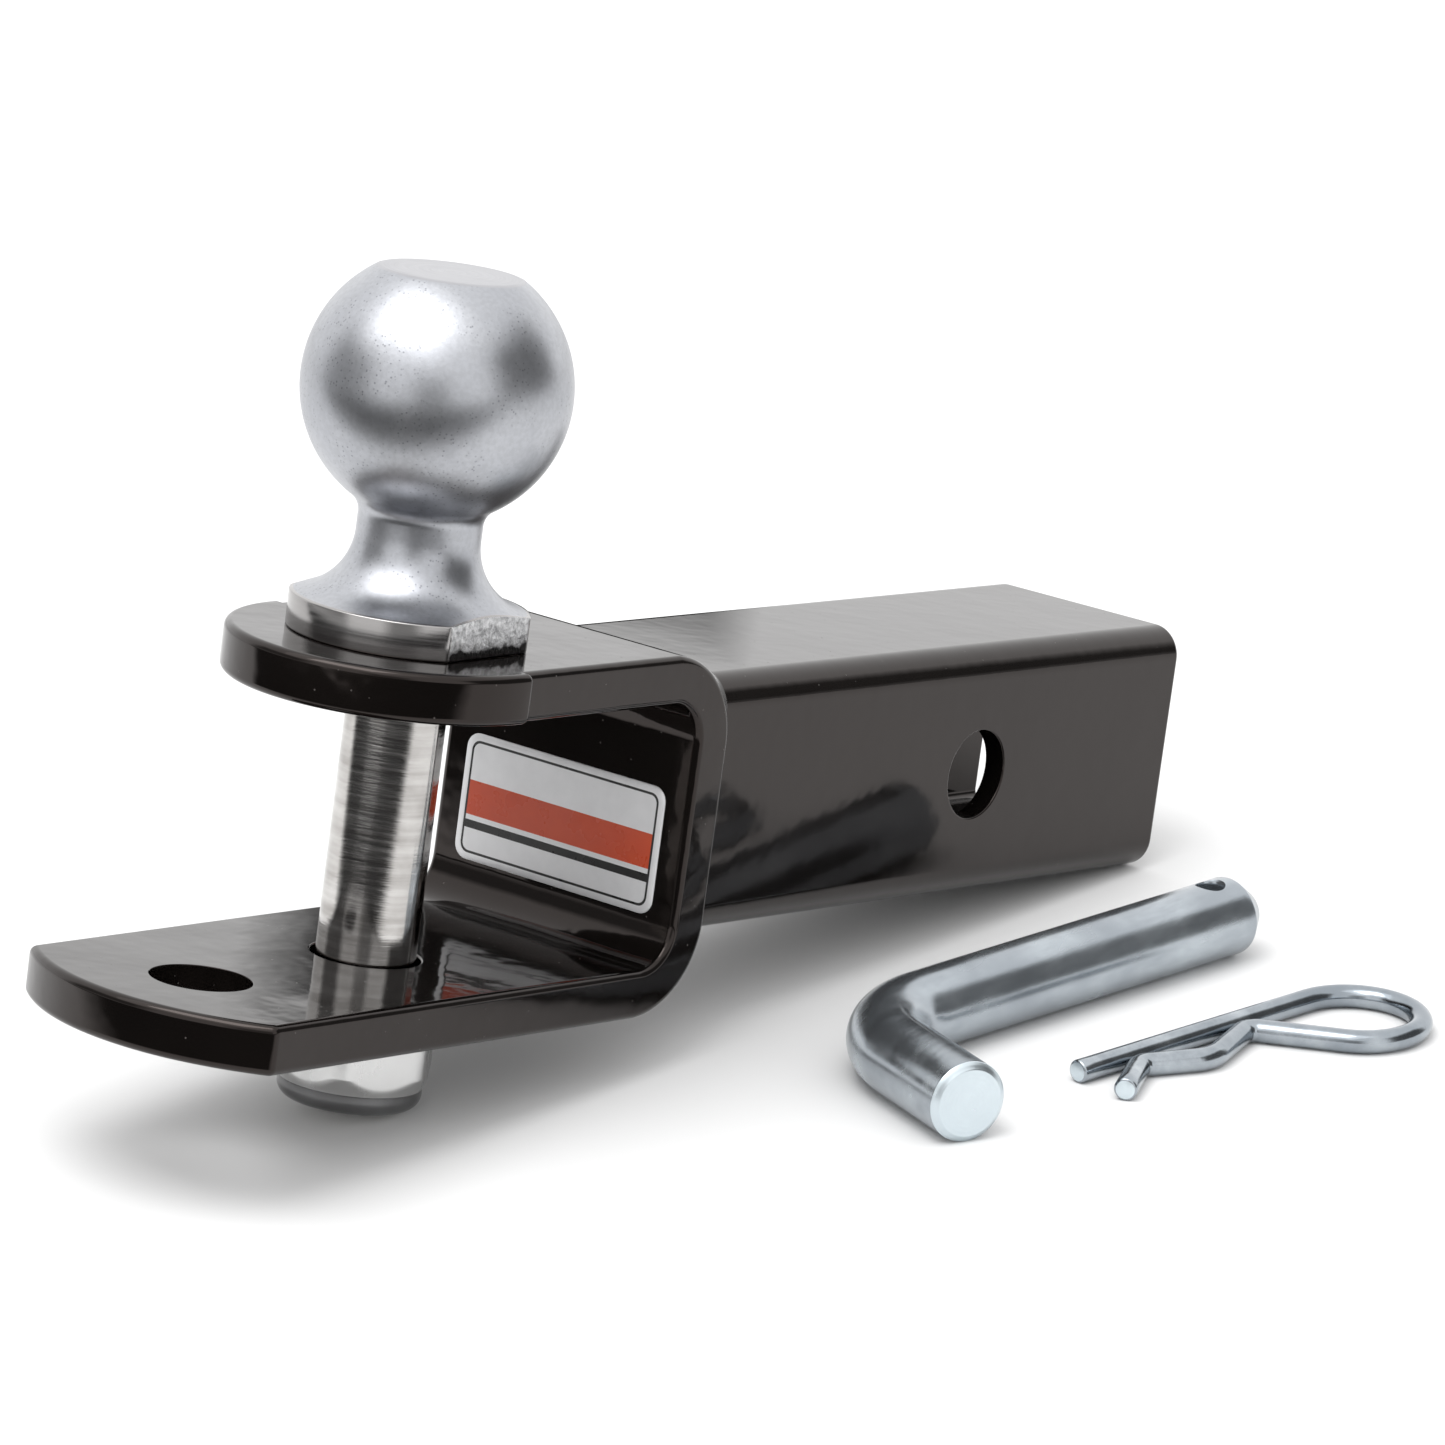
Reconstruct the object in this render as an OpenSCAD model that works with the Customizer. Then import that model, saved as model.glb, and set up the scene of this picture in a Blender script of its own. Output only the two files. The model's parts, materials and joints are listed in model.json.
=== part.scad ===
// Ball mount for a square receiver: a bent plate clevis welded to a square tube,
// a forged tow ball held by a nylon insert lock nut, and the loose retaining pin
// and spring clip that belong with it. Units are millimetres.
// The hitch is drawn square to its own tube first, then leaned back until it rests
// on its nut and on the lower edge of its tube, which is how it lies on a bench.

/* [Receiver tube] */
// Outside width and height of the square tube
tube_w = 50.8; // [48:0.1:52]
// Thickness of the tube's wall
tube_wall = 4.76; // [3:0.01:6.35]
// Outside radius of the tube's corners
tube_corner_r = 6.3; // [5:0.1:8]
// Length of the tube from the clevis to its open end
tube_l = 154; // [120:1:200]
// Distance from the open end to the pin hole
hole_to_end = 65.3; // [50:0.1:75]
// Diameter of the pin hole through both side walls
pin_hole_d = 18; // [16.5:0.1:19]

/* [Clevis bracket] */
// Thickness of the bent plate
plate_t = 9.5; // [8:0.1:12]
// Width of the plate
bracket_w = 62; // [58:0.5:70]
// Clear height between the two tongues
clevis_gap = 51.6; // [48:0.1:56]
// Inside radius of the two bends
bend_in_r = 8; // [6:0.5:10]
// Outside radius of the two bends
bend_out_r = 18.5; // [16:0.5:20]
// Distance from the shank's axis to the inside of the back wall
shank_to_wall = 52.4; // [48:0.1:60]
// Height of the tube's axis above the lower tongue's top face
tube_rise = 28.7; // [27:0.1:30]
// Radius of the upper tongue's round head
head_r = 32.6; // [32:0.1:34]
// Distance of the head's centre in front of the shank
head_fwd = 1.8; // [1:0.1:3]
// Distance from the shank to the lower tongue's front corners
corner_reach = 58.4; // [54:0.1:64]
// Radius of the lower tongue's front edge
nose_r = 47.4; // [40:0.1:60]
// Diameter of the two holes that take the shank
shank_hole_d = 21; // [20:0.1:23]
// Diameter of the spare hole near the lower tongue's front
front_hole_d = 19.2; // [17:0.1:21]
// Distance of the spare hole in front of the shank
front_hole_fwd = 45.4; // [42:0.1:48]
// Leg of the fillet weld that joins the tube to the clevis
weld_leg = 5; // [3:0.5:6]

/* [Tow ball] */
// Diameter of the ball
ball_d = 50.8; // [50:0.1:51]
// Height of the ball's centre above the flange's top face
ball_rise = 41.3; // [38:0.1:46]
// Height of the flat top above the ball's centre
ball_flat = 21.5; // [20:0.1:23]
// Radius of the waist below the ball
neck_r = 11.7; // [11:0.1:13]
// Radius of the sweep from the waist out to the flange
flare_r = 12.8; // [12.5:0.1:13.2]
// Height of the waist above the flange's top face
flare_h = 13.4; // [13.3:0.1:14]
// Radius of the small fillet from the waist up into the ball
collar_r = 4; // [2:0.5:5]
// Diameter of the flange
flange_d = 45.2; // [44:0.1:48]
// Thickness of the flange's rim
flange_t = 6; // [5:0.1:8]
// Distance across the two wrench flats on the flange
flat_af = 38.6; // [37:0.1:41]
// Diameter of the shank
shank_d = 19.05; // [19.05]
// Length of the shank below the flange
shank_l = 88.5; // [86:0.1:89]

/* [Lock nut] */
// Distance across the nut's flats
nut_af = 28.6; // [27:0.1:30]
// Distance across the nut's rounded corners
nut_corners = 31.8; // [31:0.1:33]
// Height of the hexagon, down to where the collar starts
nut_hex_h = 14.6; // [13:0.1:16]
// Whole height of the nut with its collar
nut_h = 18.7; // [18.5:0.1:20]
// Outside diameter of the round collar
nut_collar_d = 27.4; // [26:0.1:28]
// Radius of the collar's rolled edge
nut_roll_r = 2.8; // [2:0.1:3]
// Turn of the hexagon about the shank
nut_turn = 5; // [0:1:59]
// Height of the nylon ring inside the collar
insert_h = 3.4; // [2:0.1:3.6]
// Outside diameter of the nylon ring
insert_d = 22.4; // [21.6:0.1:22.8]

/* [Retaining pin] */
// Diameter of the pin's bar
pin_d = 15.875; // [15.8:0.005:16]
// Length of the long leg from the corner of the two axes to its full-width end
pin_long = 104.4; // [95:0.1:115]
// Length of the short leg from the corner of the two axes to its end face
pin_short = 42.2; // [38:0.1:50]
// Angle between the two legs
pin_angle = 106; // [90:1:110]
// Radius of the bend along the bar's centre
pin_bend_r = 21.8; // [16:0.1:24]
// Length of the tapered tip
pin_tip_l = 5.2; // [3:0.1:8]
// Radius of the tip's end
pin_tip_r = 4.4; // [3:0.1:6]
// Distance of the clip hole from the corner of the two axes
clip_hole_at = 98.9; // [90:0.1:99]
// Diameter of the clip hole
clip_hole_d = 5.6; // [5.2:0.1:6.5]
// Corner of the pin, to the side of the pin hole
pin_x = 55.8; // [50:0.1:80]
// Corner of the pin, behind the pin hole
pin_y = -73.3; // [-90:0.1:-40]
// Heading of the long leg
pin_heading = 83.9; // [80:0.1:90]

/* [Spring clip] */
// Diameter of the clip's wire
wire_d = 4.6; // [4:0.1:4.8]
// Radius of the clip's loop along the wire's centre
loop_r = 12.9; // [12:0.1:13.5]
// Length of the straight leg up to the loop
leg_l = 64.4; // [62:0.1:66]
// Angle the loop turns through
loop_turn = 236.4; // [235:0.1:238]
// Radius of the rounded hollow that grips the pin
saddle_r = 8; // [6:0.1:9]
// Free end of the clip's straight leg, to the side of the pin hole
clip_x = 90.25; // [90:0.1:110]
// Free end of the clip's straight leg, behind the pin hole
clip_y = -49.5; // [-60:0.1:-30]
// Heading of the clip's straight leg
clip_heading = 82.6; // [80:0.1:90]

/* [Label] */
// Width of the plain label on the back wall
label_w = 50; // [30:1:52]
// Height of the label
label_h = 25; // [14:1:26]
// Thickness of the label
label_t = 0.3; // [0.2:0.1:0.5]

/* [Hidden] */
$fn = 96;

black_paint = [0.07, 0.07, 0.07];
bright_zinc = [0.72, 0.74, 0.76];
tube_h = tube_w / 2;
tube_in_w = tube_w - 2 * tube_wall;
tube_in_r = 1.6;
shank_y = hole_to_end - tube_l - plate_t - shank_to_wall;
wall_in_y = shank_y + shank_to_wall;
wall_out_y = wall_in_y + plate_t;
tongue_z = -tube_rise;
head_z = tongue_z + clevis_gap;
base_z = tongue_z - plate_t;
top_z = head_z + plate_t;
head_end = 0.3;
nose_setback = sqrt(nose_r * nose_r - bracket_w * bracket_w / 4);
nose_y = shank_y - corner_reach + nose_setback;
through = 100;
shank_r = shank_d / 2;
thread_fit = 0.075;
running_gap = 0.05;
end_chamfer = 1.2;
ball_r = ball_d / 2;
flange_r = flange_d / 2;
collar_rise = ball_rise - sqrt(pow(ball_r + collar_r, 2) - pow(neck_r + collar_r, 2));
collar_reach = (neck_r + collar_r) * ball_r / (ball_r + collar_r);
collar_top = ball_rise - (ball_rise - collar_rise) * ball_r / (ball_r + collar_r);
flat_turn = 3;
nut_z = base_z - nut_h;
nut_foot_r = nut_collar_d / 2 - nut_roll_r;
hex_chamfer_h = 2.2;
pin_r = pin_d / 2;
end_bevel = 1.3;
joint_lap = 0.05;
joint_swell = 0.01;
pin_turn = 180 - pin_angle;
kink_r = 3.3;
wire_r = wire_d / 2;
label_rise = 21;
label_corner = 3;

// The hitch leans back until the rolled edge of its nut and the lower edge of the
// tube's open end lie on one level surface.
edge_dy = hole_to_end - (shank_y + nut_foot_r);
edge_dz = -tube_h - (nut_z + nut_roll_r);
lean = atan(edge_dz / edge_dy) + asin(nut_roll_r / norm([edge_dy, edge_dz]));
ground_z = -hole_to_end * sin(lean) - tube_h * cos(lean);

module leaned() {
    rotate([-lean, 0, 0]) children();
}

module on_shank(z) {
    translate([0, shank_y, z]) children();
}

module rounded_square(w, r) {
    s = w / 2 - r;
    square([w, 2 * s], center = true);
    square([2 * s, w], center = true);
    for (x = [-s, s], y = [-s, s]) {
        translate([x, y]) circle(r);
    }
}

// Side view of a U, open towards -Y, from its front edge to its back face
module u_outline(front, back, low, high, r) {
    translate([front, low]) square([back - r - front, high - low]);
    translate([back - r, low + r]) square([r, high - low - 2 * r]);
    for (z = [low + r, high - r]) {
        translate([back - r, z]) circle(r);
    }
}

// Turns a side view, drawn as Y across and Z up, into a solid across X
module across(w) {
    rotate([90, 0, 90]) translate([0, 0, -w / 2]) linear_extrude(w) children();
}

module clevis_body() {
    difference() {
        across(bracket_w) {
            u_outline(shank_y - nose_r - corner_reach, wall_out_y, base_z, top_z, bend_out_r);
        }
        across(bracket_w + 2) {
            u_outline(shank_y - through - corner_reach, wall_in_y, tongue_z, head_z, bend_in_r);
        }
        translate([-through / 2, shank_y - 2 * through - head_end, head_z - 1]) {
            cube([through, 2 * through, plate_t + 2]);
        }
    }
}

module upper_head() {
    intersection() {
        on_shank(head_z) translate([0, -head_fwd, 0]) cylinder(h = plate_t, r = head_r);
        translate([-head_r, shank_y - head_end - 2 * head_r, head_z]) {
            cube([2 * head_r, 2 * head_r, plate_t]);
        }
    }
}

// Everything in front of the lower tongue's curved front edge
module nose_trim() {
    difference() {
        translate([-through / 2, shank_y - 2 * through, base_z - 1]) {
            cube([through, nose_y - shank_y + 2 * through, plate_t + 2]);
        }
        translate([0, nose_y, base_z - 2]) cylinder(h = plate_t + 4, r = nose_r);
    }
}

module clevis_bracket() {
    color(black_paint) leaned() difference() {
        union() {
            clevis_body();
            upper_head();
        }
        nose_trim();
        on_shank(base_z - 1) cylinder(h = top_z - base_z + 2, d = shank_hole_d);
        on_shank(base_z - 1) translate([0, -front_hole_fwd, 0]) {
            cylinder(h = plate_t + 2, d = front_hole_d);
        }
    }
}

module receiver_tube() {
    color(black_paint) leaned() difference() {
        translate([0, hole_to_end, 0]) rotate([90, 0, 0]) {
            linear_extrude(tube_l) rounded_square(tube_w, tube_corner_r);
        }
        translate([0, hole_to_end + 1, 0]) rotate([90, 0, 0]) {
            linear_extrude(tube_l + 2) rounded_square(tube_in_w, tube_in_r);
        }
        rotate([0, 90, 0]) cylinder(h = tube_w + 2, d = pin_hole_d, center = true);
    }
}

// One side of the fillet weld, drawn with Y across and the distance from the tube's
// face up, and long enough to run back into the clevis
module weld_outline() {
    polygon([
        [wall_out_y + weld_leg, 0],
        [wall_out_y - bend_in_r, 0],
        [wall_out_y - bend_in_r, weld_leg],
        [wall_out_y, weld_leg * 0.9],
        [wall_out_y + weld_leg * 0.5, weld_leg * 0.6]
    ]);
}

module weld_side(angle) {
    rotate([0, angle, 0]) translate([0, 0, tube_h]) {
        across(tube_w - 2 * tube_corner_r) weld_outline();
    }
}

module weld_corner(angle) {
    s = tube_h - tube_corner_r;
    rotate([0, angle, 0]) translate([s, 0, s]) rotate([-90, 0, 0]) rotate([0, 0, -90]) {
        rotate_extrude(angle = 90) translate([tube_corner_r, 0]) {
            rotate(90) mirror([0, 1]) weld_outline();
        }
    }
}

module tube_weld() {
    color(black_paint) leaned() difference() {
        union() {
            for (angle = [0, 90, 180, 270]) {
                weld_side(angle);
                weld_corner(angle);
            }
        }
        across(bracket_w + 2) {
            u_outline(shank_y, wall_out_y, base_z, top_z, bend_out_r);
        }
    }
}

module ball_neck() {
    rotate_extrude() {
        difference() {
            translate([0, -flange_t]) square([flange_r, flange_t + flare_h]);
            translate([neck_r + flare_r, flare_h]) circle(flare_r);
        }
        square([neck_r, collar_rise]);
        difference() {
            translate([0, collar_rise]) square([collar_reach, collar_top - collar_rise]);
            translate([neck_r + collar_r, collar_rise]) circle(collar_r);
        }
    }
}

module wrench_flats() {
    for (side = [0, 180]) {
        rotate([0, 0, side + flat_turn]) translate([flat_af / 2, -flange_r, -flange_t - 1]) {
            cube([flange_r, 2 * flange_r, flange_t + flare_h]);
        }
    }
}

module ball_shank() {
    translate([0, 0, -flange_t - shank_l]) {
        cylinder(h = end_chamfer, r1 = shank_r - end_chamfer, r2 = shank_r);
    }
    translate([0, 0, -flange_t - shank_l + end_chamfer]) {
        cylinder(h = shank_l - end_chamfer + 1, r = shank_r);
    }
}

module tow_ball() {
    color([0.7, 0.71, 0.73]) leaned() on_shank(top_z + flange_t) {
        difference() {
            ball_neck();
            wrench_flats();
        }
        difference() {
            translate([0, 0, ball_rise]) sphere(ball_r);
            translate([-ball_r, -ball_r, ball_rise + ball_flat]) cube(2 * ball_r);
        }
        ball_shank();
    }
}

// Half section of the nut without its hexagon: chamfers above, rolled collar below
module nut_outline() {
    difference() {
        union() {
            translate([0, nut_h - nut_hex_h]) square([nut_corners / 2, nut_hex_h]);
            square([nut_foot_r, nut_h]);
            translate([0, nut_roll_r]) square([nut_collar_d / 2, nut_h - nut_roll_r]);
            translate([nut_foot_r, nut_roll_r]) circle(nut_roll_r);
        }
        polygon([
            [nut_collar_d / 2, nut_h - nut_hex_h - 1],
            [nut_collar_d / 2, nut_h - nut_hex_h],
            [nut_corners / 2 + 1, nut_h - nut_hex_h + hex_chamfer_h * 1.5],
            [nut_corners / 2 + 1, nut_h - nut_hex_h - 1]
        ]);
        polygon([
            [nut_af / 2 - 0.6, nut_h + 1],
            [nut_af / 2 - 0.6, nut_h],
            [nut_corners / 2 + 1, nut_h - hex_chamfer_h],
            [nut_corners / 2 + 1, nut_h + 1]
        ]);
    }
}

module lock_nut() {
    hex_r = nut_af / 2 / cos(30);
    color(bright_zinc) leaned() on_shank(nut_z) rotate([0, 0, nut_turn]) difference() {
        intersection() {
            rotate_extrude() nut_outline();
            union() {
                translate([0, 0, nut_h - nut_hex_h]) cylinder(h = nut_hex_h, r = hex_r, $fn = 6);
                cylinder(h = nut_h - nut_hex_h, r = nut_collar_d / 2);
            }
        }
        translate([0, 0, -1]) cylinder(h = nut_h + 2, r = shank_r + thread_fit);
        translate([0, 0, -1]) cylinder(h = insert_h + 1, d = insert_d + 2 * running_gap);
    }
}

module nylon_insert() {
    color([0.85, 0.86, 0.84]) leaned() on_shank(nut_z + running_gap * 10) difference() {
        cylinder(h = insert_h - running_gap * 11, d = insert_d);
        translate([0, 0, -1]) cylinder(h = insert_h + 2, r = shank_r + thread_fit);
    }
}

// A round bar of diameter d that starts along +X in the XY plane. Each step is a
// straight run, then a bend to a centre radius through an angle, positive to the left.
// The straights run a little way into the bends, which are a hair thicker, so that
// they join as one piece. Its children are placed at the bar's far end.
module bent_bar(steps, d, i = 0) {
    run = steps[i][0];
    radius = steps[i][1];
    turn = steps[i][2];
    side = sign(turn);
    rotate([0, 90, 0]) translate([0, 0, i == 0 ? 0 : -joint_lap]) {
        cylinder(h = run + (i == 0 ? 0 : joint_lap) + (radius > 0 ? joint_lap : 0), d = d);
    }
    if (radius > 0) {
        translate([run, side * radius, 0]) {
            rotate([0, 0, side > 0 ? -90 : 90 + turn]) rotate_extrude(angle = abs(turn)) {
                translate([radius, 0]) circle(d = d + 2 * joint_swell);
            }
            rotate([0, 0, turn]) translate([0, -side * radius, 0]) {
                bent_bar(steps, d, i + 1) children();
            }
        }
    } else {
        translate([run, 0, 0]) children();
    }
}

module hitch_pin() {
    set_back = pin_bend_r * tan(pin_turn / 2);
    short_run = pin_short - end_bevel - set_back;
    color(bright_zinc) translate([pin_x, pin_y, ground_z + pin_r]) rotate([0, 0, pin_heading]) {
        difference() {
            union() {
                rotate([0, 0, pin_turn]) translate([end_bevel - pin_short, 0, 0]) {
                    rotate([0, -90, 0]) cylinder(h = end_bevel, r1 = pin_r, r2 = pin_r - end_bevel);
                    bent_bar([
                        [short_run, pin_bend_r, -pin_turn],
                        [pin_long - set_back, 0, 0]
                    ], pin_d) {
                        rotate([0, 90, 0]) cylinder(h = pin_tip_l, r1 = pin_r, r2 = pin_tip_r);
                    }
                }
            }
            translate([clip_hole_at, 0, 0]) cylinder(h = pin_d + 2, d = clip_hole_d, center = true);
        }
    }
}

module pin_clip() {
    color(bright_zinc) translate([clip_x, clip_y, ground_z + wire_r]) {
        rotate([0, 0, clip_heading]) bent_bar([
            [leg_l, loop_r, -loop_turn],
            [16.6, kink_r, 78.8],
            [12.4, saddle_r, -46.7],
            [9.7, kink_r, 57.1],
            [12.3, 0, 0]
        ], wire_d, $fn = 40);
    }
}

module plain_label() {
    s = [label_w / 2 - label_corner, label_h / 2 - label_corner];
    color([0.78, 0.79, 0.8]) leaned() translate([0, wall_in_y, tongue_z + label_rise]) {
        rotate([90, 0, 0]) linear_extrude(label_t) {
            square([label_w, 2 * s[1]], center = true);
            square([2 * s[0], label_h], center = true);
            for (x = [-s[0], s[0]], y = [-s[1], s[1]]) {
                translate([x, y]) circle(label_corner);
            }
        }
    }
}

clevis_bracket();
receiver_tube();
tube_weld();
tow_ball();
lock_nut();
nylon_insert();
hitch_pin();
pin_clip();
plain_label();
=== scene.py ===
"""Looks for the receiver ball mount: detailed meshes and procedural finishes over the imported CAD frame.

The hitch is modelled square to its own tube, in millimetres, in a frame that is then leaned back as the
CAD part is: X along the pin hole, Y along the tube to its open end, Z along the ball's shank.
"""
import json
import math

import bmesh
import bpy
import numpy as np
from mathutils import Matrix, Vector

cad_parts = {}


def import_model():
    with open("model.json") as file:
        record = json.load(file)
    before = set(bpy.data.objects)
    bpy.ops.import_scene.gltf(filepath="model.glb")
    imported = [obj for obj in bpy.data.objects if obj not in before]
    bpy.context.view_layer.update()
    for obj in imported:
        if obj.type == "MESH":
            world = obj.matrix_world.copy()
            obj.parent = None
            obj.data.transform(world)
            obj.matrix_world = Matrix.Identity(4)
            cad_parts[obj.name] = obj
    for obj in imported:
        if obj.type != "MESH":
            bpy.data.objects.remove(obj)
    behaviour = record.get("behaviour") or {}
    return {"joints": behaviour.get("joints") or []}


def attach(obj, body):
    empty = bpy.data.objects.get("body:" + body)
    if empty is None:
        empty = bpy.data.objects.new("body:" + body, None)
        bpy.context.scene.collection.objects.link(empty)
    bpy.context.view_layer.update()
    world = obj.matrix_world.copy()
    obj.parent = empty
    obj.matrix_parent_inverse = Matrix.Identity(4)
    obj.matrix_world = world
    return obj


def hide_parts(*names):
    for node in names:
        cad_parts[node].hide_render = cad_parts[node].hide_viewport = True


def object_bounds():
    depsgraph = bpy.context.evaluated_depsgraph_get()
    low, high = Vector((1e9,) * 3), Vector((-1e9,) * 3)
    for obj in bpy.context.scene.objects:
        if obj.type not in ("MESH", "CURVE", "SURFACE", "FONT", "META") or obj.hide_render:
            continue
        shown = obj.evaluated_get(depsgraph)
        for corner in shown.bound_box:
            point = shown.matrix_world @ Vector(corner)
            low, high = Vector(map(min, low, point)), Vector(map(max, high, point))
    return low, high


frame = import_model()
cad_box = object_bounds()

# ---------------------------------------------------------------- dimensions, in millimetres

MM = 0.001
TUBE_W, TUBE_WALL, TUBE_R, TUBE_IN_R = 50.8, 4.76, 6.3, 1.6
TUBE_BACK, TUBE_FRONT = 65.3, -88.7
TUBE_RIM_R, TUBE_RIM_IN_R = 1.3, 0.9             # rounding of the open end, outside and inside
PIN_HOLE_R = 9.0
PLATE_T, PLATE_HALF_W, CLEVIS_GAP = 9.5, 31.0, 51.6
PLATE_EDGE_R, NOSE_CORNER_R, STEP_R = 1.5, 2.0, 1.4
HOLE_EASE, FRONT_HOLE_EASE = 0.4, 0.15           # rounding of the holes' rims
BEND_IN_R, BEND_OUT_R = 8.0, 18.5
WALL_Y = -98.2
TONGUE_Z = -28.7
HEAD_R, HEAD_FWD, HEAD_END = 32.59, 1.8, 0.3
NOSE_R, NOSE_FWD = 47.4, 22.54
SHANK_HOLE_R, FRONT_HOLE_R, FRONT_HOLE_FWD = 10.5, 9.6, 45.4
BALL_R, BALL_RISE, BALL_FLAT = 25.4, 41.3, 21.5
NECK_R, FLARE_R, FLARE_H, COLLAR_R = 11.7, 12.8, 13.4, 4.0
FLANGE_R, FLANGE_T, FLAT_HALF, FLAT_TURN = 22.6, 6.0, 19.3, math.radians(3)
RIM_LOW_R, RIM_TOP_R = 0.45, 0.3                 # rounding of the flange's rim
SHANK_R, SHANK_L, SHANK_BEVEL = 9.525, 88.5, 1.2
THREAD_PITCH, THREAD_DEPTH, THREAD_TOP_Z = 1.5875, 0.9, -31.0
NUT_HALF, NUT_CORNER_R, NUT_HEX_H, NUT_H, NUT_TURN = 14.3, 15.9, 14.6, 18.7, math.radians(5)
NUT_FACE_R, NUT_CROWN_R, NUT_FOOT_R = 13.0, 13.7, 13.75   # the nut's flat face, and where its chamfers begin
NUT_CROWN_H, NUT_FOOT_H, NUT_BORE_BEVEL = 2.2, 3.3, 1.2   # heights of the chamfers and of the bore's bevel
COLLAR_OUT_R, ROLL_R, INSERT_R, INSERT_H, BORE_R = 13.7, 2.8, 11.2, 3.4, 9.6
PIN_R, PIN_LONG, PIN_SHORT, PIN_BEND_R, PIN_ANGLE = 7.9375, 104.4, 42.2, 21.8, math.radians(106)
PIN_TIP_L, PIN_TIP_R, PIN_BEVEL, CLIP_HOLE_AT, CLIP_HOLE_R = 5.2, 4.4, 1.3, 98.9, 2.8
PIN_X, PIN_Y, PIN_HEADING = 55.8, -73.3, math.radians(83.9)
WIRE_R = 2.3
CLIP_X, CLIP_Y, CLIP_HEADING = 90.25, -49.5, math.radians(82.6)
CLIP_STEPS = [(64.4, 12.9, -236.4), (16.6, 3.3, 78.8), (12.4, 8.0, -46.7), (9.7, 3.3, 57.1), (12.3, 0, 0)]
LABEL_W, LABEL_H, LABEL_T, LABEL_R, LABEL_RISE = 50.0, 25.0, 0.3, 3.0, 21.0
BORDER_OUT, BORDER_IN = 1.4, 1.9                 # the label's border line, in from its edge
ORANGE_BAND, DARK_BAND = (-3.6, 3.2), (-6.2, -4.6)        # heights on the label
WELD_LEG, WELD_RISE = 5.0, 3.0
WELD_RIPPLES, RIPPLE_DEPTH, RIPPLE_LEAN = 34, 0.035, 0.03
RIPPLE_DRIFT, DRIFT_RATE = 0.8, 0.11             # radians, and radians a step: spaces the ripples unevenly
REST_GAP = 0.001                                 # lifts the loose pieces to just inside the CAD box
FLOOR_HALF, FLOOR_GAP = 6000, 0.02
RING_RATE = 2 * math.pi / 0.0009                 # radians a metre, for turning rings 0.9 mm apart

# How finely curves are drawn
EASE_STEPS = 5                                   # along a quarter round
HOLE_POINTS, ROUND_POINTS, SHANK_POINTS, PIN_POINTS, WIRE_POINTS = 72, 288, 96, 96, 40
NOSE_STEPS, HEAD_STEPS, BEND_CUTS = 40, 72, 18
TUBE_CORNER_STEPS, WELD_CORNER_STEPS, LABEL_CORNER_STEPS = 14, 10, 6
WELD_STEPS, THREAD_RINGS = 420, 10               # round the bead, and along one pitch of the thread

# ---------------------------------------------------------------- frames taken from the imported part

joints = {j["name"]: j for j in frame["joints"]}
shank_up = Vector(joints["ball_lift"]["axis"])
HITCH = Matrix.Rotation(-math.atan2(shank_up.y, shank_up.z), 4, "X")
nut_top = HITCH.inverted() @ Vector(joints["nut_turn"]["pos_m"]) / MM
SHANK_Y, BASE_Z = nut_top.y, nut_top.z
HEAD_Z = TONGUE_Z + CLEVIS_GAP
TOP_Z = HEAD_Z + PLATE_T
GROUND_Z = cad_box[0].z / MM


def turned(angle):
    return Matrix.Rotation(angle, 4, "Z")


def moved(x, y, z):
    return Matrix.Translation((x, y, z))


# ---------------------------------------------------------------- mesh helpers

def build(name, mesh, body, nodes, materials, place=None, weighted=False):
    """Makes one piece from a mesh in millimetres: places it, smooths it and ties it to the CAD part."""
    mesh.transform(Matrix.Scale(MM, 4) @ (place or Matrix.Identity(4)))
    for m in materials:
        mesh.materials.append(m)
    mesh.shade_smooth()
    obj = bpy.data.objects.new(name, mesh)
    bpy.context.scene.collection.objects.link(obj)
    if weighted:
        mod = obj.modifiers.new("even_normals", "WEIGHTED_NORMAL")
        mod.weight = 100
        mod.keep_sharp = True
    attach(obj, body)
    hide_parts(*nodes)
    return obj


def finished(bm, name):
    bmesh.ops.remove_doubles(bm, verts=bm.verts[:], dist=1e-4)
    bmesh.ops.recalc_face_normals(bm, faces=bm.faces[:])
    mesh = bpy.data.meshes.new(name)
    bm.to_mesh(mesh)
    bm.free()
    return mesh


def rounded(corners, steps):
    """A line through corners (x, y, fillet radius), each corner rounded with the same number of steps."""
    out = [Vector(corners[0][:2])]
    for before, here, after in zip(corners, corners[1:], corners[2:]):
        p, r = Vector(here[:2]), here[2]
        u, v = (Vector(before[:2]) - p).normalized(), (Vector(after[:2]) - p).normalized()
        half = u.angle(v) / 2
        if r == 0:
            out.append(p)
            continue
        centre = p + (u + v).normalized() * (r / math.sin(half))
        a, b = p + u * (r / math.tan(half)) - centre, p + v * (r / math.tan(half)) - centre
        sweep = math.atan2(a.x * b.y - a.y * b.x, a.dot(b))
        for k in range(steps + 1):
            t = sweep * k / steps
            out.append(centre + Vector((a.x * math.cos(t) - a.y * math.sin(t),
                                        a.x * math.sin(t) + a.y * math.cos(t))))
    out.append(Vector(corners[-1][:2]))
    return out


def ring(bm, points):
    return [bm.verts.new(p) for p in points]


def bridge(bm, a, b, closed=True, material=0):
    n = len(a)
    for i in range(n if closed else n - 1):
        j = (i + 1) % n
        face = bm.faces.new((a[i], a[j], b[j], b[i]))
        face.material_index = material


def skin(bm, rings, closed=True, material=0):
    for a, b in zip(rings, rings[1:]):
        bridge(bm, a, b, closed, material)


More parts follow.
